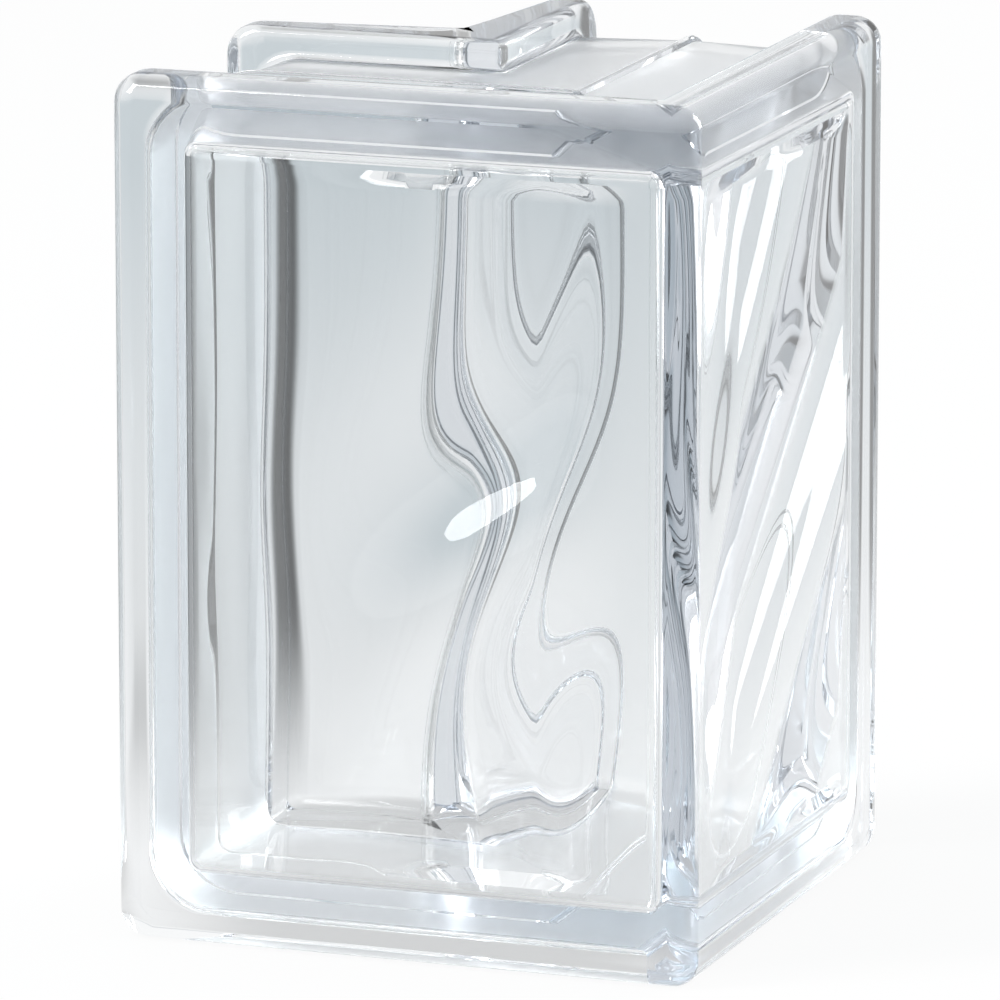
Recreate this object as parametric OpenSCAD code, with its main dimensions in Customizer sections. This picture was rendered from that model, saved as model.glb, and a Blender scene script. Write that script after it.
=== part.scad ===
// Hollow glass corner block. Two pressed halves are fused along the middle of the thickness
// into one L-shaped piece. A flange runs round every face, a mortar groove runs round the
// edges between the flanges, and the sealed hollow inside has wavy faces.

/* [Block] */
// Length of each outer face, from the outer corner to the free end
leg_length = 132; // [120:1:200]
// Height of the block
height = 190; // [110:1:300]
// Thickness of each leg, from its outer face to its inner face
thickness = 80; // [70:1:95]

/* [Flanges and mortar groove] */
// Thickness of the flange round each face
flange_t = 12.5; // [11:0.5:16]
// Depth of the mortar groove at the foot of a flange
groove_depth = 6.5; // [6:0.5:9]
// Depth of the fused seam below the flange edges
seam_depth = 4.5; // [3:0.5:6]
// Radius of the bead along the fused seam
seam_r = 1.2; // [0.6:0.1:2]
// Radius of the edges of the faces
face_r = 5.5; // [2:0.5:6]
// Radius of the flange edges next to the groove
edge_r = 3; // [1:0.5:3.5]
// Radius of the fillet at the foot of a flange
root_r = 2.5; // [1:0.5:3]
// Radius of the face outlines at the free ends
outline_r = 6.5; // [6:0.5:9]
// Radius of the groove floor round the corners of a free end
groove_r = 12.5; // [8:0.5:16]
// Radius of the upright edge at the outer corner
corner_r = 5; // [1:0.5:6]
// Radius of the fillet in the inner corner
inner_r = 4; // [1:0.5:6]

/* [Hollow] */
// Mean thickness of the wavy face walls
face_wall = 9; // [7:0.5:11]
// Thickness of the walls under the fused seam
edge_wall = 5; // [4:0.5:8]
// Lean of the hollow's walls from the fused seam to the faces, in degrees
draft = 8; // [2:1:12]
// Radius of the hollow between a face and an edge wall
hollow_r = 3; // [2:0.5:7]
// Radius of the hollow round the two upright corners between the legs
turn_r = 3; // [2:0.5:9]

/* [Waves of the front leg] */
// Height of the waves above and below the mean face, inside the outer face
front_wave_h = 2.6; // [0:0.05:3]
// Distance from crest to crest along the face
front_along = 103; // [40:0.5:150]
// Distance from crest to crest up the face
front_up = 127; // [60:1:300]
// Sideways swing of the crests, in degrees of a wave
front_swing = 64; // [0:1:140]
// Height over which the crests swing once
front_swing_length = 164; // [60:1:300]
// Where the swing starts, in degrees of a swing
front_swing_start = 334; // [0:1:360]
// Where the crests start, in degrees of a wave
front_start = 187; // [0:1:360]
// Distance from the outer corner over which the waves are full
full_waves = 52; // [40:1:80]
// Distance from the outer corner beyond which the waves are calm
calm_waves = 92; // [85:1:120]
// Share of the waves' height that is left where they are calm
calm_share = 0.12; // [0:0.01:1]

/* [Waves of the side leg] */
// Height of the waves above and below the mean face, inside the outer face
side_wave_h = 2.15; // [0:0.05:2.5]
// Distance from crest to crest along the face
side_along = 110; // [40:0.5:150]
// Distance from crest to crest up the face
side_up = 110; // [60:5:300]
// Sideways swing of the crests, in degrees of a wave
side_swing = 17; // [0:1:140]
// Height over which the crests swing once
side_swing_length = 165; // [60:5:300]
// Where the swing starts, in degrees of a swing
side_swing_start = 344; // [0:1:360]
// Where the crests start, in degrees of a wave
side_start = 193; // [0:1:360]

/* [Waves of both legs] */
// Height of the waves above and below the mean face, inside the inner faces
inner_wave_h = 0.3; // [0:0.05:1]
// Width of the flat border round each wavy face
wave_border = 3; // [2:1:15]
// Width of the flat border next to the corner between the legs
corner_border = 25; // [12:1:30]

/* [Hidden] */
$fn = 64;

glass_colour = [0.80, 0.86, 0.87, 0.55];
// How far pieces of one solid reach into each other
overlap = 1;
// How far the round of a fillet dips into the faces that it joins
tuck = 0.05;

// Mesh of the hollow: points up a face, round an edge, along half the roof, along a leg and round a turn
face_points = 26;
edge_points = 4;
roof_points = 2;
leg_points = 17;
turn_points = 4;

// The ridge under the seam bead, and the slope of the groove floor from the ridge to the flange
ridge_depth = seam_depth + seam_r;
ridge_t = thickness / 2;
floor_slope = (groove_depth - ridge_depth) / (ridge_t - flange_t);
groove_axis = groove_depth + groove_r;

// A bar with round corners, in the plane
module round_bar(size, r) {
    translate([r, 0]) square([size.x - 2 * r, size.y]);
    translate([0, r]) square([size.x, size.y - 2 * r]);
    for (x = [r, size.x - r], y = [r, size.y - r]) translate([x, y]) circle(r);
}

// The fillet between a flange and the groove floor, with the flange at x = 0 and the groove above
module root_fillet() {
    run = sqrt(1 + floor_slope * floor_slope);
    rise = root_r * (floor_slope + run);
    touch = root_r * (1 + floor_slope / run);
    difference() {
        polygon([
            [-overlap, -overlap], [touch, -overlap], [touch, floor_slope * touch],
            [root_r, rise], [-overlap, rise]
        ]);
        translate([root_r - tuck, rise - tuck]) circle(root_r);
    }
}

// The body between the flanges, across the thickness: half of it, from one edge to y = reach
module half_body(reach) {
    inset = flange_t / 2;
    polygon([
        [inset, groove_depth], [flange_t, groove_depth], [ridge_t, ridge_depth],
        [thickness - flange_t, groove_depth], [thickness - inset, groove_depth],
        [thickness - inset, reach], [inset, reach]
    ]);
    for (side = [0, 1]) {
        translate([side * thickness, groove_depth]) mirror([side, 0]) translate([flange_t, 0])
            mirror([0, 1]) root_fillet();
    }
    translate([ridge_t, ridge_depth]) circle(seam_r);
}

// Stands a plane drawing across the front leg, with its y along +Z, and carries it along +X
module along_leg(length) {
    rotate([90, 0, 90]) linear_extrude(length) children();
}

// The plan of the front leg, mitred on the line between the outer and the inner corner
module leg_plan() {
    polygon([[0, 0], [-thickness, thickness], [-leg_length, thickness], [-leg_length, 0]]);
}

// A section of a flange, with its face at x = 0 and the groove beyond x = flange_t
module flange_section(length) {
    intersection() {
        round_bar([2 * flange_t, length], face_r);
        translate([-flange_t, 0]) round_bar([2 * flange_t, length], edge_r);
    }
}

// One flange of the front leg: a plate with rounded edges, with its face at t = 0
module flange() {
    intersection() {
        translate([0, flange_t, 0]) rotate([90, 0, 0]) linear_extrude(flange_t)
            translate([-leg_length, 0]) round_bar([2 * leg_length, height], outline_r);
        translate([-leg_length, 0, 0]) along_leg(leg_length) flange_section(height);
        linear_extrude(height) translate([-leg_length, 0]) mirror([1, -1])
            flange_section(2 * leg_length);
    }
}

// The body of the front leg: straight runs of the groove, and its turns at the free end
module leg_body() {
    half = height / 2;
    for (top = [0, 1]) {
        translate([0, 0, top * height]) mirror([0, 0, top]) {
            translate([groove_axis - leg_length, 0, 0]) along_leg(leg_length - groove_axis)
                half_body(half);
            translate([groove_axis - leg_length, 0, groove_axis]) rotate([-90, 0, 0])
                rotate([0, 0, 90]) rotate_extrude(angle = 90) intersection() {
                    translate([groove_axis, 0]) rotate(90) half_body(groove_axis);
                    square([groove_axis, thickness]);
                }
        }
    }
    translate([-leg_length, thickness, groove_axis]) linear_extrude(height - 2 * groove_axis)
        rotate(-90) half_body(groove_axis + overlap);
}

// The front leg up to the mitre
module leg() {
    intersection() {
        linear_extrude(height) leg_plan();
        union() {
            flange();
            translate([0, thickness, 0]) mirror([0, 1, 0]) flange();
            leg_body();
        }
    }
}

// The fillet between the two inner faces
module inner_fillet() {
    translate([-thickness, thickness, face_r]) linear_extrude(height - 2 * face_r) difference() {
        translate([-inner_r, -overlap]) square(inner_r + overlap);
        translate([tuck - inner_r, inner_r - tuck]) circle(inner_r);
    }
}

// What is taken off the upright edge at the outer corner to round it
module corner_cut() {
    translate([0, 0, -overlap]) linear_extrude(height + 2 * overlap) difference() {
        translate([-corner_r, -overlap]) square(corner_r + overlap);
        translate([-corner_r, corner_r]) circle(corner_r);
    }
}

// A smooth step from 0 to 1
function ease(x) = let (c = max(0, min(1, x))) c * c * (3 - 2 * c);

// 1 over the middle of a span, falling to 0 at its ends over flat borders
function window(x, low, high, high_border) =
    ease((x - low) / wave_border) * ease((high - x) / high_border);

// The waves of each leg: lengths along and up the face, swing, swing length, swing start, start
front_wave = [front_along, front_up, front_swing, front_swing_length, front_swing_start, front_start];
side_wave = [side_along, side_up, side_swing, side_swing_length, side_swing_start, side_start];

// A leg's waves as a share of their height, at a distance u to the right along a face, seen from
// outside, and z up it
function wave(u, z, w) = sin(360 * (u / w[0] - z / w[1]) + w[5] + w[2] * sin(360 * z / w[3] + w[4]));

// Share of the front leg's waves that is left at a distance from the outer corner
function calm(run) = 1 - (1 - calm_share) * ease((run - full_waves) / (calm_waves - full_waves));

// Inset of the hollow from the edges of the block, at a distance t into the thickness
function hollow_inset(t) =
    let (from_face = min(t, thickness - t) - face_wall, bend = max(0, hollow_r - from_face))
    ridge_depth + edge_wall + tan(draft) * abs(t - ridge_t)
        + hollow_r - sqrt(max(0, hollow_r * hollow_r - bend * bend));

face_inset = hollow_inset(face_wall);
half_roof = [
    for (i = [1:edge_points]) face_wall + hollow_r * (1 - cos(90 * i / edge_points)),
    for (i = [1:roof_points]) let (from = face_wall + hollow_r)
        from + (ridge_t - from) * i / roof_points
];
roof = concat(half_roof, [for (i = [len(half_roof) - 2:-1:0]) thickness - half_roof[i]]);
face_z = [for (i = [0:face_points - 1])
    face_inset + (height - 2 * face_inset) * i / (face_points - 1)];

// The loop round the hollow across a leg, as [t, z, side], where side is 1 on the outer face,
// -1 on the inner face and 0 on the roof and floor
loop = concat(
    [for (z = face_z) [face_wall, z, 1]],
    [for (t = roof) [t, height - hollow_inset(t), 0]],
    [for (i = [face_points - 1:-1:0]) [thickness - face_wall, face_z[i], -1]],
    [for (i = [len(roof) - 1:-1:0]) [roof[i], hollow_inset(roof[i]), 0]]
);

// A point of a leg's hollow, at a share q of the way from the free end to the turn, as it lies
// in the front leg; the waves differ between the front and the side leg
function leg_point(p, q, front) =
    let (
        from = hollow_inset(p[0]) - leg_length,
        to = -p[0] - turn_r,
        x = from + (to - from) * q,
        fade = window(x, from, to, corner_border)
            * window(p[1], face_inset, height - face_inset, wave_border),
        lift = front ? calm(-x) * wave(leg_length + x, p[1], front_wave) : wave(-x, p[1], side_wave),
        outer_h = front ? front_wave_h : side_wave_h
    )
    [x, p[0] + p[2] * (p[2] > 0 ? outer_h : inner_wave_h) * fade * lift, p[1]];

// A point of the hollow's turn between the legs
function turn_point(p, a) =
    [-p[0] - turn_r + turn_r * sin(a), p[0] + turn_r - turn_r * cos(a), p[1]];

// Mirrors a point of the front leg into the side leg
function side_leg(p) = [-p.y, -p.x, p.z];

rings = concat(
    [for (i = [0:leg_points - 1]) [for (p = loop)
        leg_point(p, i / (leg_points - 1), true)]],
    [for (i = [1:turn_points - 1]) [for (p = loop) turn_point(p, 90 * i / turn_points)]],
    [for (i = [leg_points - 1:-1:0]) [for (p = loop)
        side_leg(leg_point(p, i / (leg_points - 1), false))]]
);

// The sealed hollow: the loop carried along both legs, closed at the two free ends
module hollow() {
    n = len(loop);
    m = len(rings);
    k = len(roof);
    // Strips across a free end: the outer face, pairs of roof and floor points, the inner face
    end_faces = concat(
        [concat([n - 1], [for (i = [0:face_points]) i])],
        [for (i = [0:k - 2]) [face_points + i, face_points + i + 1, n - 2 - i, n - 1 - i]],
        [[for (i = [0:face_points + 1]) face_points + k - 1 + i]]
    );
    walls = [
        for (r = [0:m - 2], i = [0:n - 1])
        let (a = r * n + i, b = r * n + (i + 1) % n)
        each [[a, b, a + n], [b, b + n, a + n]]
    ];
    last = (m - 1) * n;
    polyhedron(
        points = [for (ring = rings) each ring],
        faces = concat(
            walls,
            [for (f = end_faces) [for (i = [len(f) - 1:-1:0]) f[i]]],
            [for (f = end_faces) [for (i = f) last + i]]
        )
    );
}

// The whole block, with its overall box centred on the origin in plan
module glass_block() {
    color(glass_colour) translate([leg_length / 2, -leg_length / 2, 0]) difference() {
        union() {
            leg();
            mirror([1, 1, 0]) leg();
            inner_fillet();
        }
        corner_cut();
        hollow();
    }
}

glass_block();
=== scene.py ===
"""Hollow glass corner block: two pressed halves fused into one L-shaped piece, on a white floor."""

import math

import bmesh
import bpy
from bpy.props import FloatProperty, FloatVectorProperty, IntProperty, PointerProperty
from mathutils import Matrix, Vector


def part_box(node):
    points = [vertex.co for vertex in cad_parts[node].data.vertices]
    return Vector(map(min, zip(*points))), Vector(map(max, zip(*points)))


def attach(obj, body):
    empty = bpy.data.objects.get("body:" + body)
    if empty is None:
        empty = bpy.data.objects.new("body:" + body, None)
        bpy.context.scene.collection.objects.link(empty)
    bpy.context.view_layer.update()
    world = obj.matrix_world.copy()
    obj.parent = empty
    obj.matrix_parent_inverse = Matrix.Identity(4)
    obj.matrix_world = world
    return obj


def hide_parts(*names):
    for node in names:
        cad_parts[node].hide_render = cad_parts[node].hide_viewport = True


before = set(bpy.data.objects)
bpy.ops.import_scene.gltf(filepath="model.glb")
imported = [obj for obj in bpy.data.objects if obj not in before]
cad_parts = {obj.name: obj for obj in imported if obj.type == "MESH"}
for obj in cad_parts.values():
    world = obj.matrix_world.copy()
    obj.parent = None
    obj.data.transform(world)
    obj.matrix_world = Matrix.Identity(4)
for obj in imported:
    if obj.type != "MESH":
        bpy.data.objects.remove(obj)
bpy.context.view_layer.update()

bl_info = {
    "name": "Glass Corner Block",
    "version": (1, 0, 0),
    "blender": (4, 5, 0),
    "location": "View3D > Sidebar > Glass Block",
    "description": "Models a hollow glass corner block and its studio",
    "category": "Object",
}

NODE = "glass_block"
BLOCK_LOW, BLOCK_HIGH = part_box(NODE)
LEG_LENGTH = BLOCK_HIGH.x - BLOCK_LOW.x
HEIGHT = BLOCK_HIGH.z - BLOCK_LOW.z

# Mesh attribute that is 1 on the floor of the mortar groove and 0 elsewhere
GROOVE_MASK = "groove"

# How far off a point may lie and still count as being in a place, in metres
NEAR = 2e-5
# Edges shorter than this have no direction, in metres
NO_LENGTH = 1e-9
# How nearly an edge follows an axis to count as straight, as a cosine
STRAIGHT = 0.999
# Straight edges of the hollow that are longer than these cross a wavy face, in metres
LONG_ALONG = 0.02
LONG_UP = 0.1
# Where the rows of mesh beside the hollow's round edges lie, as shares of their radius
CORNER_ROW = 1.06
TURN_ROW = 1.1
# Share of a corner's radius beyond which a point counts as being on the round
ON_ROUND = 0.98
# Share of the bead's half width within which a point is lifted onto the bead
ON_BEAD = 0.99
# Edges that bend less than this look smooth
SMOOTH_ANGLE = math.radians(32)
# How strongly large faces decide how the edges next to them are shaded
FLAT_WEIGHT = 100

# Softboxes: name, place, width and height in metres, and power in watts
SOFTBOXES = (
    ("key", (-1.4, -1.2, 1.6), 0.6, 1.4, 60),
    ("fill", (1.5, 1.9, 0.9), 1.2, 1.6, 45),
)
# Cosines of the turn away from the bright side and the dark sector of the painted shade on the far floor,
# and from its white side, over which each fades
BRIGHT_SPAN = (0.0, 0.7)
SHADE_SECTOR_SPAN = (0.9, 0.985)
WHITE_SPAN = (0.8, 0.97)
# Width of the camera's sensor in millimetres, and how far the camera sees in metres
SENSOR_WIDTH = 36
SIGHT = 100
# How often light may bounce in the glass, and off its surface
BOUNCES = 16
GLOSSY_BOUNCES = 12


def mm(name, description, value):
    """A length property, with its default in millimetres."""
    return FloatProperty(
        name=name, description=description, default=value / 1000, min=0.0, precision=5,
        subtype="DISTANCE", unit="LENGTH",
    )


def degrees(name, description, value):
    """An angle property, with its default in degrees."""
    return FloatProperty(
        name=name, description=description, default=math.radians(value),
        subtype="ANGLE", unit="ROTATION",
    )


def share(name, description, value, most=1.0):
    """A plain number property."""
    return FloatProperty(
        name=name, description=description, default=value, min=0.0, max=most, precision=4,
    )


def count(name, description, value, most):
    """A whole number property."""
    return IntProperty(name=name, description=description, default=value, min=8, max=most)


def colour(name, description, value):
    """A colour property without alpha."""
    return FloatVectorProperty(
        name=name, description=description, default=value, size=3, min=0.0, max=1.0, subtype="COLOR",
    )


def point(name, description, value):
    """A place property, with its default in millimetres."""
    return FloatVectorProperty(
        name=name, description=description, default=[c / 1000 for c in value], size=3, precision=5,
        subtype="TRANSLATION", unit="LENGTH",
    )


class BlockSizes(bpy.types.PropertyGroup):
    """Sizes of the glass block."""

    thickness: mm("Thickness", "From the outer to the inner face of a leg", 80)
    flange_t: mm("Flange thickness", "Thickness of the flange round each face", 12.5)
    groove_depth: mm("Groove depth", "Depth of the mortar groove at the foot of a flange", 6.5)
    ridge_depth: mm("Ridge depth", "Depth of the groove's middle ridge below the flange edges", 5.7)
    bead_r: mm("Bead radius", "Radius of the bead along the fused seam", 1.2)
    face_r: mm("Face edge radius", "Radius of the edges of the faces", 5.5)
    edge_r: mm("Flange edge radius", "Radius of the flange edges next to the groove", 3)
    root_r: mm("Root radius", "Radius of the fillet at the foot of a flange", 2.5)
    outline_r: mm("Outline radius", "Radius of the face outlines at the free ends", 6.5)
    groove_r: mm("Groove corner radius", "Radius of the groove floor round a free end", 12.5)
    inner_r: mm("Inner corner radius", "Radius of the fillet between the two inner faces", 4)
    face_wall: mm("Face wall", "Mean thickness of the wavy face walls", 9)
    edge_wall: mm("Edge wall", "Thickness of the walls under the fused seam", 5)
    draft: degrees("Draft", "Lean of the hollow's walls from the fused seam to the faces", 8)
    hollow_r: mm("Hollow edge radius", "Radius of the hollow between a face and an edge wall", 3)
    hollow_corner_r: mm("Hollow corner radius", "Radius of the hollow's corners at the free ends", 3)


class FrontWaves(bpy.types.PropertyGroup):
    """The waves pressed into the inside of the front leg's outer face."""

    height: mm("Height", "Height of the waves above and below the mean face", 2.6)
    along: mm("Length along", "Distance from crest to crest along the face", 103)
    up: mm("Length up", "Distance from crest to crest up the face", 127)
    swing: degrees("Swing", "Sideways swing of the crests, as an angle of a wave", 64)
    swing_length: mm("Swing length", "Height over which the crests swing once", 164)
    swing_start: degrees("Swing start", "Where the swing of the crests starts", 334)
    start: degrees("Start", "Where the crests start", 187)


class SideWaves(bpy.types.PropertyGroup):
    """The waves pressed into the inside of the side leg's outer face."""

    height: mm("Height", "Height of the waves above and below the mean face", 2.15)
    along: mm("Length along", "Distance from crest to crest along the face", 110)
    up: mm("Length up", "Distance from crest to crest up the face", 110)
    swing: degrees("Swing", "Sideways swing of the crests, as an angle of a wave", 17)
    swing_length: mm("Swing length", "Height over which the crests swing once", 165)
    swing_start: degrees("Swing start", "Where the swing of the crests starts", 344)
    start: degrees("Start", "Where the crests start", 193)


class WaveShape(bpy.types.PropertyGroup):
    """How the waves are laid out over the faces."""

    inner_height: mm("Inner wave height", "Height of the waves above and below the mean inner face", 0.3)
    full: mm("Full width", "Distance from the outer corner over which the front waves are full", 52)
    calm: mm("Calm", "Distance from the outer corner beyond which the front waves are calm", 92)
    calm_share: share("Calm share", "Share of the waves' height that is left where they are calm", 0.12)
    border: mm("Border", "Width of the flat border round each wavy face", 3)
    corner_border: mm("Corner border", "Width of the border next to the corner between the legs", 25)
    cells_across: count("Cells across", "Mesh cells along a wavy face", 84, 120)
    cells_up: count("Cells up", "Mesh cells up a wavy face", 120, 160)


class GlassFinish(bpy.types.PropertyGroup):
    """Look of the glass."""

    tint: colour("Tint", "Surface tint of the glass", (0.985, 0.99, 0.99))
    depth_tint: colour("Depth tint", "Colour that light takes on in the glass", (0.865, 0.88, 0.9))
    depth: share("Depth", "How strongly the depth tint builds up, per metre", 30.0, 100.0)
    shadow: colour("Shadow", "Light that the glass lets through to the floor", (0.86, 0.88, 0.88))
    ior: share("Refraction", "Index of refraction", 1.5, 3.0)
    groove_haze: share("Groove haze", "Roughness of the mortar groove's floor", 0.35)
    swell_scale: share("Swell scale", "How close the faint swells of the surface lie", 22.0, 100.0)
    swell_strength: share("Swell strength", "How strongly the swells show", 0.02)
    swell_depth: mm("Swell depth", "Depth of the swells", 0.6)


def sizes():
    """The block's sizes as they are set in the scene."""
    return bpy.context.scene.glass_block_sizes


def across(co):
    """Distance of a point into the thickness, from the outer faces."""
    return min(co.y - BLOCK_LOW.y, BLOCK_HIGH.x - co.x)


def groove(t):
    """Depth of the groove floor below the flange edges at a distance t into the thickness."""
    s = sizes()
    slope = (s.groove_depth - s.ridge_depth) / (s.thickness / 2 - s.flange_t)
    return s.groove_depth - slope * max(0.0, min(t, s.thickness - t) - s.flange_t)


def end_and_bed(co):
    """Distances of a point from the nearest free end and from the nearest bed."""
    return min(co.x - BLOCK_LOW.x, BLOCK_HIGH.y - co.y), min(co.z - BLOCK_LOW.z, BLOCK_HIGH.z - co.z)


def placed(co, end=None, bed=None):
    """The point moved to given distances from the nearest free end and the nearest bed."""
    new = co.copy()
    if end is not None:
        if co.x - BLOCK_LOW.x < BLOCK_HIGH.y - co.y:
            new.x = BLOCK_LOW.x + end
        else:
            new.y = BLOCK_HIGH.y - end
    if bed is not None:
        if co.z - BLOCK_LOW.z < BLOCK_HIGH.z - co.z:
            new.z = BLOCK_LOW.z + bed
        else:
            new.z = BLOCK_HIGH.z - bed
    return new


def deselect():
    """Leaves edit mode and selects nothing."""
    if bpy.context.object and bpy.context.object.mode != "OBJECT":
        bpy.ops.object.mode_set(mode="OBJECT")
    bpy.ops.object.select_all(action="DESELECT")


def pick(obj, kind, test):
    """Selects the vertices, edges or faces that pass a test, in edit mode."""
    bpy.ops.mesh.select_mode(type=kind)
    bpy.ops.mesh.select_all(action="DESELECT")
    mesh = bmesh.from_edit_mesh(obj.data)
    items = {"VERT": mesh.verts, "EDGE": mesh.edges, "FACE": mesh.faces}[kind]
    found = [item for item in items if test(item)]
    if not found:
        raise RuntimeError(f"nothing to select on {obj.name}")
    for item in found:
        item.select_set(True)
    mesh.select_flush_mode()
    bmesh.update_edit_mesh(obj.data)


def move_selected(obj, place):
    """Moves each selected vertex to place(co)."""
    mesh = bmesh.from_edit_mesh(obj.data)
    for v in mesh.verts:
        if v.select:
            v.co = place(v.co)
    bmesh.update_edit_mesh(obj.data)


def bevel(obj, test, radius, segments):
    """Rounds the edges that pass a test."""
    pick(obj, "EDGE", test)
    bpy.ops.mesh.bevel(
        offset=radius, offset_type="OFFSET", segments=segments, profile=0.5, clamp_overlap=False,
    )


def both(edge, test):
    """Whether both ends of an edge pass a test."""
    return all(test(v.co) for v in edge.verts)


def straight(edge, axis):
    """Whether an edge follows the X, Y or Z axis, given as 0, 1 or 2."""
    d = edge.verts[1].co - edge.verts[0].co
    return d.length > NO_LENGTH and abs(d.normalized()[axis]) > STRAIGHT


def upright(edge):
    """Whether an edge runs straight up."""
    return straight(edge, 2)


def at(value, target):
    """Whether two values are as good as equal."""
    return abs(value - target) < NEAR


def along(edge):
    """Whether an edge keeps its distance into the thickness."""
    return at(across(edge.verts[0].co), across(edge.verts[1].co))


def swept_bar(name, lines, beds, end, stations):
    """An L-shaped bar. Its section has lines across the thickness and beds up the height, end(t) is
    the inset of its free ends, and stations are further rows along a leg, as distances from the free
    end or, if negative or 0, from the mitre between the legs."""
    deselect()
    bpy.ops.mesh.primitive_grid_add(
        x_subdivisions=len(lines) - 1, y_subdivisions=len(beds) - 1, size=2,
        rotation=(math.pi / 2, 0, math.pi / 2),
    )
    bar = bpy.context.object
    bar.name = bar.data.name = name
    bpy.ops.object.transform_apply(location=True, rotation=True, scale=True)
    bpy.ops.object.mode_set(mode="EDIT")
    bpy.ops.mesh.select_mode(type="FACE")
    bpy.ops.mesh.select_all(action="SELECT")

    def start(co):
        t = lines[round((co.y + 1) / 2 * (len(lines) - 1))]
        bed = beds[round((co.z + 1) / 2 * (len(beds) - 1))]
        return Vector((BLOCK_LOW.x + end(t), BLOCK_LOW.y + t, BLOCK_LOW.z + bed(t)))

    def front_row(station):
        def place(co):
            t = co.y - BLOCK_LOW.y
            x = BLOCK_LOW.x + end(t) + station if station > 0 else BLOCK_HIGH.x - t + station
            return Vector((x, co.y, co.z))
        return place

    def side_row(station):
        def place(co):
            t = BLOCK_HIGH.x - co.x
            y = BLOCK_HIGH.y - end(t) - station if station >= 0 else BLOCK_LOW.y + t - station
            return Vector((co.x, y, co.z))
        return place

    move_selected(bar, start)
    for station in stations:
        bpy.ops.mesh.extrude_region_move()
        move_selected(bar, front_row(station))
    for station in [*reversed(stations[:-1]), 0.0]:
        bpy.ops.mesh.extrude_region_move()
        move_selected(bar, side_row(station))
    bpy.ops.mesh.select_all(action="SELECT")
    bpy.ops.mesh.normals_make_consistent(inside=False)
    return bar


def shell():
    """The outside of the block: flanges, mortar groove and fused seam."""
    s = sizes()
    half = s.thickness / 2
    flange_lines = [0.0, s.flange_t, s.thickness - s.flange_t, s.thickness]
    lines = sorted([*flange_lines, half])
    beds = [lambda t: 0.0, lambda t: HEIGHT]
    bar = swept_bar("glass_block_shell", lines, beds, lambda t: 0.0, [0.0])
    axis = s.groove_depth + s.groove_r

    def on_end_corner(co):
        return all(at(d, 0) for d in end_and_bed(co))

    def on_inner_corner(co):
        return at(co.x, BLOCK_HIGH.x - s.thickness) and at(co.y, BLOCK_LOW.y + s.thickness)

    bevel(bar, lambda e: both(e, on_end_corner) and not upright(e), s.outline_r, segments=8)
    bevel(bar, lambda e: upright(e) and both(e, on_inner_corner), s.inner_r, segments=4)

    def on_end_round(co):
        return max(end_and_bed(co)) < s.outline_r + NEAR

    def between_flanges(face):
        t = across(face.calc_center_median())
        return s.flange_t < t < s.thickness - s.flange_t

    def groove_floor(co):
        end, bed = end_and_bed(co)
        depth = groove(across(co))
        if on_end_round(co):
            out = Vector((s.outline_r - end, s.outline_r - bed)).normalized() * (axis - depth)
            return placed(co, axis - out.x, axis - out.y)
        return placed(co, depth if at(end, 0) else None, depth if at(bed, 0) else None)

    pick(bar, "FACE", between_flanges)
    bpy.ops.mesh.extrude_region_move()
    move_selected(bar, groove_floor)

    def on_flange_line(co):
        return any(at(across(co), t) for t in flange_lines)

    def on_rim(co):
        return on_flange_line(co) and (min(end_and_bed(co)) < NEAR or on_end_round(co))

    def on_face(co):
        return at(across(co), 0) or at(across(co), s.thickness)

    def on_outer_corner(co):
        return at(co.x, BLOCK_HIGH.x) and at(co.y, BLOCK_LOW.y)

    def face_edge(edge):
        return along(edge) and both(edge, lambda co: on_rim(co) and on_face(co)) or (
            upright(edge) and both(edge, on_outer_corner))

    def groove_edge(edge):
        return along(edge) and both(edge, lambda co: on_rim(co) and not on_face(co))

    bevel(bar, face_edge, s.face_r, segments=7)
    bevel(bar, groove_edge, s.edge_r, segments=5)

    def on_root(co):
        return on_flange_line(co) and min(end_and_bed(co)) > s.groove_depth - NEAR and (
            s.flange_t - NEAR < across(co) < s.thickness - s.flange_t + NEAR)

    bevel(bar, lambda e: along(e) and both(e, on_root), s.root_r, segments=6)
    bevel(bar, lambda e: both(e, lambda co: at(across(co), half)), s.bead_r, segments=6)

    def bead(co):
        end, bed = end_and_bed(co)
        t = across(co)
        depth = groove(t) - math.sqrt(max(0.0, s.bead_r**2 - (t - half) ** 2))
        if max(end, bed) < axis:
            out = Vector((axis - end, axis - bed)).normalized() * (axis - depth)
            return placed(co, axis - out.x, axis - out.y)
        return placed(co, depth, None) if end < bed else placed(co, None, depth)

    pick(bar, "VERT", lambda v: abs(across(v.co) - half) < s.bead_r * ON_BEAD)
    move_selected(bar, bead)
    bpy.ops.object.mode_set(mode="OBJECT")
    mask = bar.data.attributes.new(GROOVE_MASK, "FLOAT", "FACE")
    for face, value in zip(bar.data.polygons, mask.data):
        from_seam = abs(across(face.center) - half)
        value.value = float(s.bead_r < from_seam < half - s.flange_t - s.root_r)
    return bar


def ease(x):
    """A smooth step from 0 to 1."""
    c = max(0.0, min(1.0, x))
    return c * c * (3 - 2 * c)


def wave(u, z, leg):
    """Lift of a leg's waves as a share of their height, at u to the right along a face and z up it,
    seen from outside."""
    swing = leg.swing * math.sin(math.tau * z / leg.swing_length + leg.swing_start)
    return math.sin(math.tau * (u / leg.along - z / leg.up) + swing + leg.start)


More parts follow.
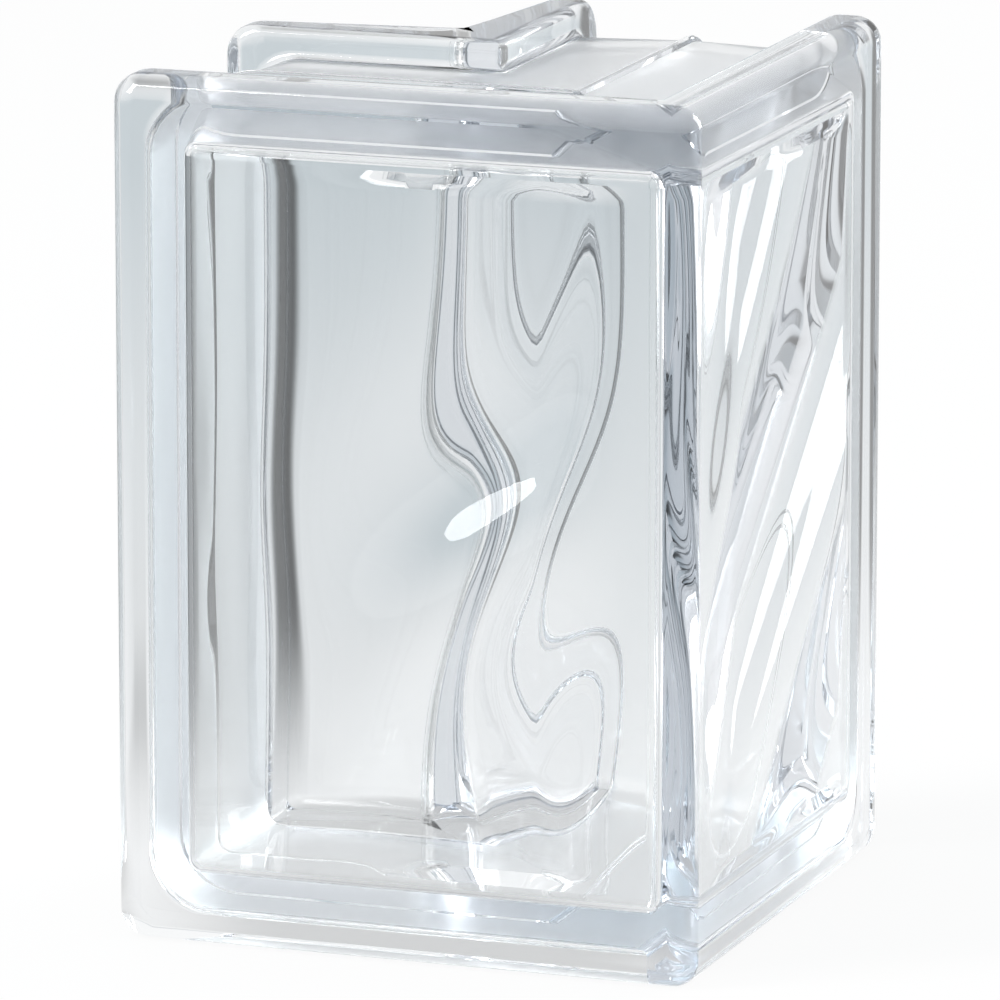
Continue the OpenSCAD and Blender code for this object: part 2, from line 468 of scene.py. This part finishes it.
def hollow():
    """The sealed hollow inside the block, with waves on its four large faces."""
    s = sizes()
    scene = bpy.context.scene
    w = scene.glass_block_waves
    row = max(s.hollow_corner_r, s.hollow_r) * CORNER_ROW
    turn_row = s.hollow_r * TURN_ROW

    def inset(t):
        return s.ridge_depth + s.edge_wall + math.tan(s.draft) * abs(t - s.thickness / 2)

    beds = [
        inset, lambda t: inset(t) + row,
        lambda t: HEIGHT - inset(t) - row, lambda t: HEIGHT - inset(t),
    ]
    lines = [s.face_wall, s.thickness / 2, s.thickness - s.face_wall]
    bar = swept_bar("glass_block_hollow", lines, beds, inset, [row, -turn_row, 0.0])

    def on_end_corner(co):
        return all(at(d, inset(across(co))) for d in end_and_bed(co))

    bevel(bar, lambda e: both(e, on_end_corner), s.hollow_corner_r, segments=7)
    face_lines = [s.face_wall, s.thickness - s.face_wall]

    def on_face(co):
        return any(at(across(co), t) for t in face_lines)

    def on_border(co):
        end, bed = end_and_bed(co)
        here = inset(across(co))
        corner = max(end, bed) < here + s.hollow_corner_r + NEAR and (
            (end - here - s.hollow_corner_r) ** 2 + (bed - here - s.hollow_corner_r) ** 2
            > (s.hollow_corner_r * ON_ROUND) ** 2)
        return on_face(co) and (at(end, here) or at(bed, here) or corner)

    def on_turn(co):
        t = across(co)
        return on_face(co) and at(co.x, BLOCK_HIGH.x - t) and at(co.y, BLOCK_LOW.y + t)

    def border_or_turn(e):
        return along(e) and (both(e, on_border) or upright(e) and both(e, on_turn))

    bevel(bar, border_or_turn, s.hollow_r, segments=6)

    def level(edge):
        return straight(edge, 0) or straight(edge, 1)

    pick(bar, "EDGE", lambda e: level(e) and e.calc_length() > LONG_ALONG)
    bpy.ops.mesh.subdivide(number_cuts=w.cells_across)
    pick(bar, "EDGE", lambda e: upright(e) and e.calc_length() > LONG_UP)
    bpy.ops.mesh.subdivide(number_cuts=w.cells_up)

    face_low = inset(s.face_wall) + row

    def window(x, low, high, low_border):
        """1 over the middle of a span, falling to 0 at its ends over borders."""
        return ease((x - low) / low_border) * ease((high - x) / w.border)

    def waved(co):
        t = across(co)
        outer = at(t, s.face_wall)
        if not outer and not at(t, s.thickness - s.face_wall):
            return co
        front = co.y - BLOCK_LOW.y < BLOCK_HIGH.x - co.x
        run = BLOCK_HIGH.x - co.x if front else co.y - BLOCK_LOW.y
        fade = (window(run, t + turn_row, LEG_LENGTH - face_low, w.corner_border)
                * window(co.z, face_low, HEIGHT - face_low, w.border))
        strength = 1 - (1 - w.calm_share) * ease((run - w.full) / (w.calm - w.full)) if front else 1
        leg = scene.glass_block_front_waves if front else scene.glass_block_side_waves
        height = leg.height if outer else -w.inner_height
        lift = height * fade * strength * wave(LEG_LENGTH - run if front else run, co.z, leg)
        return co + (Vector((0, lift, 0)) if front else Vector((-lift, 0, 0)))

    bpy.ops.mesh.select_mode(type="VERT")
    bpy.ops.mesh.select_all(action="SELECT")
    move_selected(bar, waved)
    bpy.ops.mesh.flip_normals()
    bpy.ops.object.mode_set(mode="OBJECT")
    return bar


def link(tree, out, into):
    """Links an output to an input."""
    tree.links.new(out, into)


def node(tree, kind, **settings):
    """A new node with its settings."""
    made = tree.nodes.new(kind)
    for name, value in settings.items():
        setattr(made, name, value)
    return made


def combine(tree, operation, *values):
    """The result of a sum on two values, each an output or a plain number."""
    made = node(tree, "ShaderNodeMath", operation=operation)
    for socket, value in zip(made.inputs, values):
        if isinstance(value, bpy.types.NodeSocket):
            link(tree, value, socket)
        else:
            socket.default_value = value
    return made.outputs[0]


def new_material(name):
    """An empty material, its node tree and its output node."""
    material = bpy.data.materials.new(name)
    material.use_nodes = True
    tree = material.node_tree
    tree.nodes.clear()
    return material, tree, node(tree, "ShaderNodeOutputMaterial")


def clear_glass():
    """Clear pressed glass: slightly uneven surface, faint colour in its depth, a soft shadow."""
    f = bpy.context.scene.glass_block_finish
    material, tree, out = new_material("clear_glass")
    glass = node(tree, "ShaderNodeBsdfPrincipled")
    glass.inputs["Transmission Weight"].default_value = 1.0
    glass.inputs["IOR"].default_value = f.ior
    glass.inputs["Base Color"].default_value = (*f.tint, 1)
    groove_mask = node(tree, "ShaderNodeAttribute", attribute_name=GROOVE_MASK)
    haze = combine(tree, "MULTIPLY", groove_mask.outputs["Fac"], f.groove_haze)
    link(tree, haze, glass.inputs["Roughness"])
    place = node(tree, "ShaderNodeTexCoord")
    swell = node(tree, "ShaderNodeTexNoise")
    swell.inputs["Scale"].default_value = f.swell_scale
    swell.inputs["Detail"].default_value = 0
    link(tree, place.outputs["Object"], swell.inputs["Vector"])
    bump = node(tree, "ShaderNodeBump")
    bump.inputs["Strength"].default_value = f.swell_strength
    bump.inputs["Distance"].default_value = f.swell_depth
    link(tree, swell.outputs["Fac"], bump.inputs["Height"])
    link(tree, bump.outputs["Normal"], glass.inputs["Normal"])
    passing = node(tree, "ShaderNodeBsdfTransparent")
    passing.inputs["Color"].default_value = (*f.shadow, 1)
    path = node(tree, "ShaderNodeLightPath")
    mix = node(tree, "ShaderNodeMixShader")
    link(tree, path.outputs["Is Shadow Ray"], mix.inputs["Fac"])
    link(tree, glass.outputs["BSDF"], mix.inputs[1])
    link(tree, passing.outputs["BSDF"], mix.inputs[2])
    link(tree, mix.outputs["Shader"], out.inputs["Surface"])
    depth = node(tree, "ShaderNodeVolumeAbsorption")
    depth.inputs["Color"].default_value = (*f.depth_tint, 1)
    depth.inputs["Density"].default_value = f.depth
    link(tree, depth.outputs["Volume"], out.inputs["Volume"])
    return material


class GLASSBLOCK_OT_block(bpy.types.Operator):
    """Model the hollow glass block"""

    bl_idname = "glassblock.block"
    bl_label = "Glass Block"

    def execute(self, context):
        outside, inside = shell(), hollow()
        deselect()
        inside.select_set(True)
        outside.select_set(True)
        context.view_layer.objects.active = outside
        bpy.ops.object.join()
        outside.name = outside.data.name = "clear_glass_block"
        bpy.ops.object.shade_smooth_by_angle(angle=SMOOTH_ANGLE)
        weighted = outside.modifiers.new("flat faces", "WEIGHTED_NORMAL")
        weighted.keep_sharp = True
        weighted.weight = FLAT_WEIGHT
        bpy.ops.object.modifier_apply(modifier=weighted.name)
        outside.data.materials.clear()
        outside.data.materials.append(clear_glass())
        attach(outside, "root")
        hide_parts(NODE)
        return {"FINISHED"}


class Studio(bpy.types.PropertyGroup):
    """Floor, lamps, background and camera."""

    azimuth: degrees("Azimuth", "Camera's turn round the block from the front", 20.02)
    elevation: degrees("Elevation", "Camera's height above the horizon", 12.38)
    distance: mm("Distance", "From the camera to its target", 2086)
    target: point("Target", "Point that the camera looks at", (-1, 0, 88.6))
    lens: share("Lens", "Focal length in millimetres", 343.4, 1000)
    floor_size: mm("Floor size", "Width of the floor", 30000)
    floor_colour: colour("Floor colour", "Colour of the floor", (0.93, 0.93, 0.93))
    floor_white: share("Floor white", "Share of plain white in the floor's look", 0.9)
    near: mm("Near", "Distance at which the floor starts to change behind the glass", 50)
    far: mm("Far", "Distance at which the floor is fully grey behind the glass", 900)
    # Painted shade: seen in the glass, the far floor greys to this colour, except on the white side
    painted_far_shade: colour("Far grey", "Colour of the far floor behind the glass", (0.62, 0.68, 0.71))
    bright_turn: degrees("Bright side", "Turn of the bright side from straight behind the block", 25)
    white_turn: degrees("White side", "Turn of the side where the floor stays white far off", 35)
    # Painted shadow of the block on the floor, seen only in the glass
    under: share("Under the block", "Brightness of the floor there, as a share of the open floor", 0.7)
    clear: mm("Clear", "Distance from the block's middle at which the floor is clear of it", 85)
    # Painted shade on the far floor seen in the glass: a dim side and a dark sector
    dim: share("Dim side", "Brightness of the dim side, as a share of the bright side", 0.4)
    shade_sector_turn: degrees("Card", "Turn of a dark card from straight behind the block", -62)
    shade_sector_level: share("Card level", "Brightness of the dark card, as a share of the floor beside it", 0.04)
    dim_reach: mm("Dim reach", "Distance at which the floor is fully dimmed behind the glass", 350)
    room_grey: colour("Room grey", "Colour of the room's light on the floor", (0.3, 0.32, 0.33))


def studio():
    """The studio as it is set in the scene."""
    return bpy.context.scene.glass_block_studio


def seen_rays(tree):
    """1 for camera, glossy and transmission rays, else 0."""
    path = node(tree, "ShaderNodeLightPath")
    total = path.outputs["Is Camera Ray"]
    for name in ("Is Glossy Ray", "Is Transmission Ray"):
        total = combine(tree, "MAXIMUM", total, path.outputs[name])
    return total


def grade(tree, value, span, levels, kind="SMOOTHSTEP"):
    """A level that goes from the first to the second of levels as value goes through span."""
    ramp = node(tree, "ShaderNodeMapRange", interpolation_type=kind)
    for name, number in zip(("From Min", "From Max", "To Min", "To Max"), (*span, *levels)):
        ramp.inputs[name].default_value = number
    link(tree, value, ramp.inputs["Value"])
    return ramp.outputs["Result"]


def facing(tree, vector, turn):
    """Cosine between a vector, laid level, and a direction turned from straight behind the block."""
    flat = node(tree, "ShaderNodeVectorMath", operation="MULTIPLY")
    flat.inputs[1].default_value = (1, 1, 0)
    link(tree, vector, flat.inputs[0])
    unit = node(tree, "ShaderNodeVectorMath", operation="NORMALIZE")
    link(tree, flat.outputs[0], unit.inputs[0])
    dot = node(tree, "ShaderNodeVectorMath", operation="DOT_PRODUCT")
    dot.inputs[1].default_value = (math.sin(turn), math.cos(turn), 0)
    link(tree, unit.outputs[0], dot.inputs[0])
    return dot.outputs["Value"]


def side_level(tree, vector):
    """Painted shade on the far floor in the direction of a vector: full brightness on the bright side,
    less elsewhere, least in a painted dark sector."""
    s = studio()
    broad = grade(tree, facing(tree, vector, s.bright_turn), BRIGHT_SPAN, (s.dim, 1.0))
    # Painted shade: a dark sector of the far floor
    painted_shade_sector = grade(tree, facing(tree, vector, s.shade_sector_turn), SHADE_SECTOR_SPAN, (1.0, s.shade_sector_level))
    return combine(tree, "MULTIPLY", broad, painted_shade_sector)


def floor_material():
    """A pale floor: plain white to the camera, and to the glass white near the block, greyer far off by
    painted shade and dimmer under the block by a painted shadow."""
    s = studio()
    material, tree, out = new_material("studio_floor")
    matt = node(tree, "ShaderNodeBsdfDiffuse")
    matt.inputs["Color"].default_value = (*s.floor_colour, 1)
    place = node(tree, "ShaderNodeTexCoord").outputs["Object"]
    length = node(tree, "ShaderNodeVectorMath", operation="LENGTH")
    link(tree, place, length.inputs[0])
    away = length.outputs["Value"]
    path = node(tree, "ShaderNodeLightPath")
    not_camera = combine(tree, "SUBTRACT", 1.0, path.outputs["Is Camera Ray"])

    # Painted shade: seen in the glass, the floor greys with distance, except on the white side
    far = grade(tree, away, (s.near, s.far), (0.0, 1.0), "LINEAR")
    off_white_side = grade(tree, facing(tree, place, s.white_turn), WHITE_SPAN, (1.0, 0.0))
    greyed = combine(tree, "MULTIPLY", far, off_white_side)
    shade = node(tree, "ShaderNodeMix", data_type="RGBA")
    shade.inputs["A"].default_value = (1, 1, 1, 1)
    shade.inputs["B"].default_value = (*s.painted_far_shade, 1)
    link(tree, combine(tree, "MULTIPLY", greyed, not_camera), shade.inputs["Factor"])

    # Painted shade: seen in the glass, the far floor dims to one side and in a dark sector
    dimmed = grade(tree, away, (s.near, s.dim_reach), (0.0, 1.0))
    level = node(tree, "ShaderNodeMix", data_type="FLOAT")
    level.inputs["A"].default_value = 1.0
    link(tree, side_level(tree, place), level.inputs["B"])
    link(tree, combine(tree, "MULTIPLY", dimmed, not_camera), level.inputs["Factor"])

    # Painted shadow: seen in the glass, the floor under the block is dimmed
    painted_shadow = grade(tree, away, (s.near, s.clear), (1 - s.under, 0.0))
    lit_share = combine(tree, "SUBTRACT", 1.0, combine(tree, "MULTIPLY", painted_shadow, not_camera))
    white = node(tree, "ShaderNodeEmission")
    link(tree, shade.outputs["Result"], white.inputs["Color"])
    link(tree, combine(tree, "MULTIPLY", level.outputs["Result"], lit_share), white.inputs["Strength"])
    mix = node(tree, "ShaderNodeMixShader")
    link(tree, combine(tree, "MULTIPLY", seen_rays(tree), s.floor_white), mix.inputs["Fac"])
    link(tree, matt.outputs["BSDF"], mix.inputs[1])
    link(tree, white.outputs["Emission"], mix.inputs[2])
    link(tree, mix.outputs["Shader"], out.inputs["Surface"])
    return material


def room():
    """The room: plain white to the camera and in the glass, and a plain grey that lights the floor."""
    world = bpy.data.worlds.new("studio_room")
    bpy.context.scene.world = world
    world.use_nodes = True
    tree = world.node_tree
    tree.nodes.clear()
    out = node(tree, "ShaderNodeOutputWorld")
    surround = node(tree, "ShaderNodeBackground")
    surround.inputs["Color"].default_value = (*studio().room_grey, 1)
    white = node(tree, "ShaderNodeBackground")
    white.inputs["Color"].default_value = (1, 1, 1, 1)
    mix = node(tree, "ShaderNodeMixShader")
    link(tree, seen_rays(tree), mix.inputs["Fac"])
    link(tree, surround.outputs[0], mix.inputs[1])
    link(tree, white.outputs[0], mix.inputs[2])
    link(tree, mix.outputs[0], out.inputs["Surface"])


def softbox(name, place, width, height, power):
    """A soft lamp that points at the middle of the block."""
    bpy.ops.object.light_add(type="AREA", location=place)
    lamp = bpy.context.object
    lamp.name = lamp.data.name = name
    lamp.data.shape = "RECTANGLE"
    lamp.data.size, lamp.data.size_y = width, height
    lamp.data.energy = power
    aim = Vector((0, 0, HEIGHT / 2)) - Vector(place)
    lamp.rotation_euler = aim.to_track_quat("-Z", "Y").to_euler()


class GLASSBLOCK_OT_stage(bpy.types.Operator):
    """Set up the floor, the lamps, the background and the camera"""

    bl_idname = "glassblock.stage"
    bl_label = "Studio"

    def execute(self, context):
        s = studio()
        deselect()
        bpy.ops.mesh.primitive_plane_add(size=s.floor_size)
        floor = context.object
        floor.name = floor.data.name = "studio_floor"
        floor.data.materials.append(floor_material())
        room()
        for lamp in SOFTBOXES:
            softbox(*lamp)
        back = Vector((
            math.sin(s.azimuth) * math.cos(s.elevation), -math.cos(s.azimuth) * math.cos(s.elevation),
            math.sin(s.elevation),
        ))
        bpy.ops.object.camera_add(
            location=Vector(s.target) + back * s.distance,
            rotation=(-back).to_track_quat("-Z", "Y").to_euler(),
        )
        camera = context.object
        camera.name = camera.data.name = "photo_camera"
        camera.data.lens = s.lens
        camera.data.sensor_width = SENSOR_WIDTH
        camera.data.clip_end = SIGHT
        context.scene.camera = camera
        context.scene.view_settings.view_transform = "Standard"
        cycles = context.scene.cycles
        cycles.max_bounces = cycles.transmission_bounces = BOUNCES
        cycles.glossy_bounces = GLOSSY_BOUNCES
        cycles.caustics_reflective = cycles.caustics_refractive = False
        return {"FINISHED"}


class GLASSBLOCK_PT_panel(bpy.types.Panel):
    """The steps that build the scene"""

    bl_idname = "GLASSBLOCK_PT_panel"
    bl_label = "Glass Block"
    bl_space_type = "VIEW_3D"
    bl_region_type = "UI"
    bl_category = "Glass Block"

    def draw(self, context):
        for operator in OPERATORS:
            self.layout.operator(operator.bl_idname)
        for group in GROUPS:
            settings = getattr(context.scene, group)
            for name in settings.bl_rna.properties.keys():
                if name not in ("rna_type", "name"):
                    self.layout.prop(settings, name)


GROUPS = {
    "glass_block_sizes": BlockSizes,
    "glass_block_front_waves": FrontWaves,
    "glass_block_side_waves": SideWaves,
    "glass_block_waves": WaveShape,
    "glass_block_finish": GlassFinish,
    "glass_block_studio": Studio,
}
OPERATORS = (GLASSBLOCK_OT_block, GLASSBLOCK_OT_stage)
CLASSES = (*GROUPS.values(), *OPERATORS, GLASSBLOCK_PT_panel)


def register():
    for cls in CLASSES:
        bpy.utils.register_class(cls)
    for name, group in GROUPS.items():
        setattr(bpy.types.Scene, name, PointerProperty(type=group))


def unregister():
    for name in GROUPS:
        delattr(bpy.types.Scene, name)
    for cls in reversed(CLASSES):
        bpy.utils.unregister_class(cls)


def main():
    """Builds the block and its studio."""
    register()
    bpy.ops.glassblock.block()
    bpy.ops.glassblock.stage()


if __name__ == "__main__":
    main()
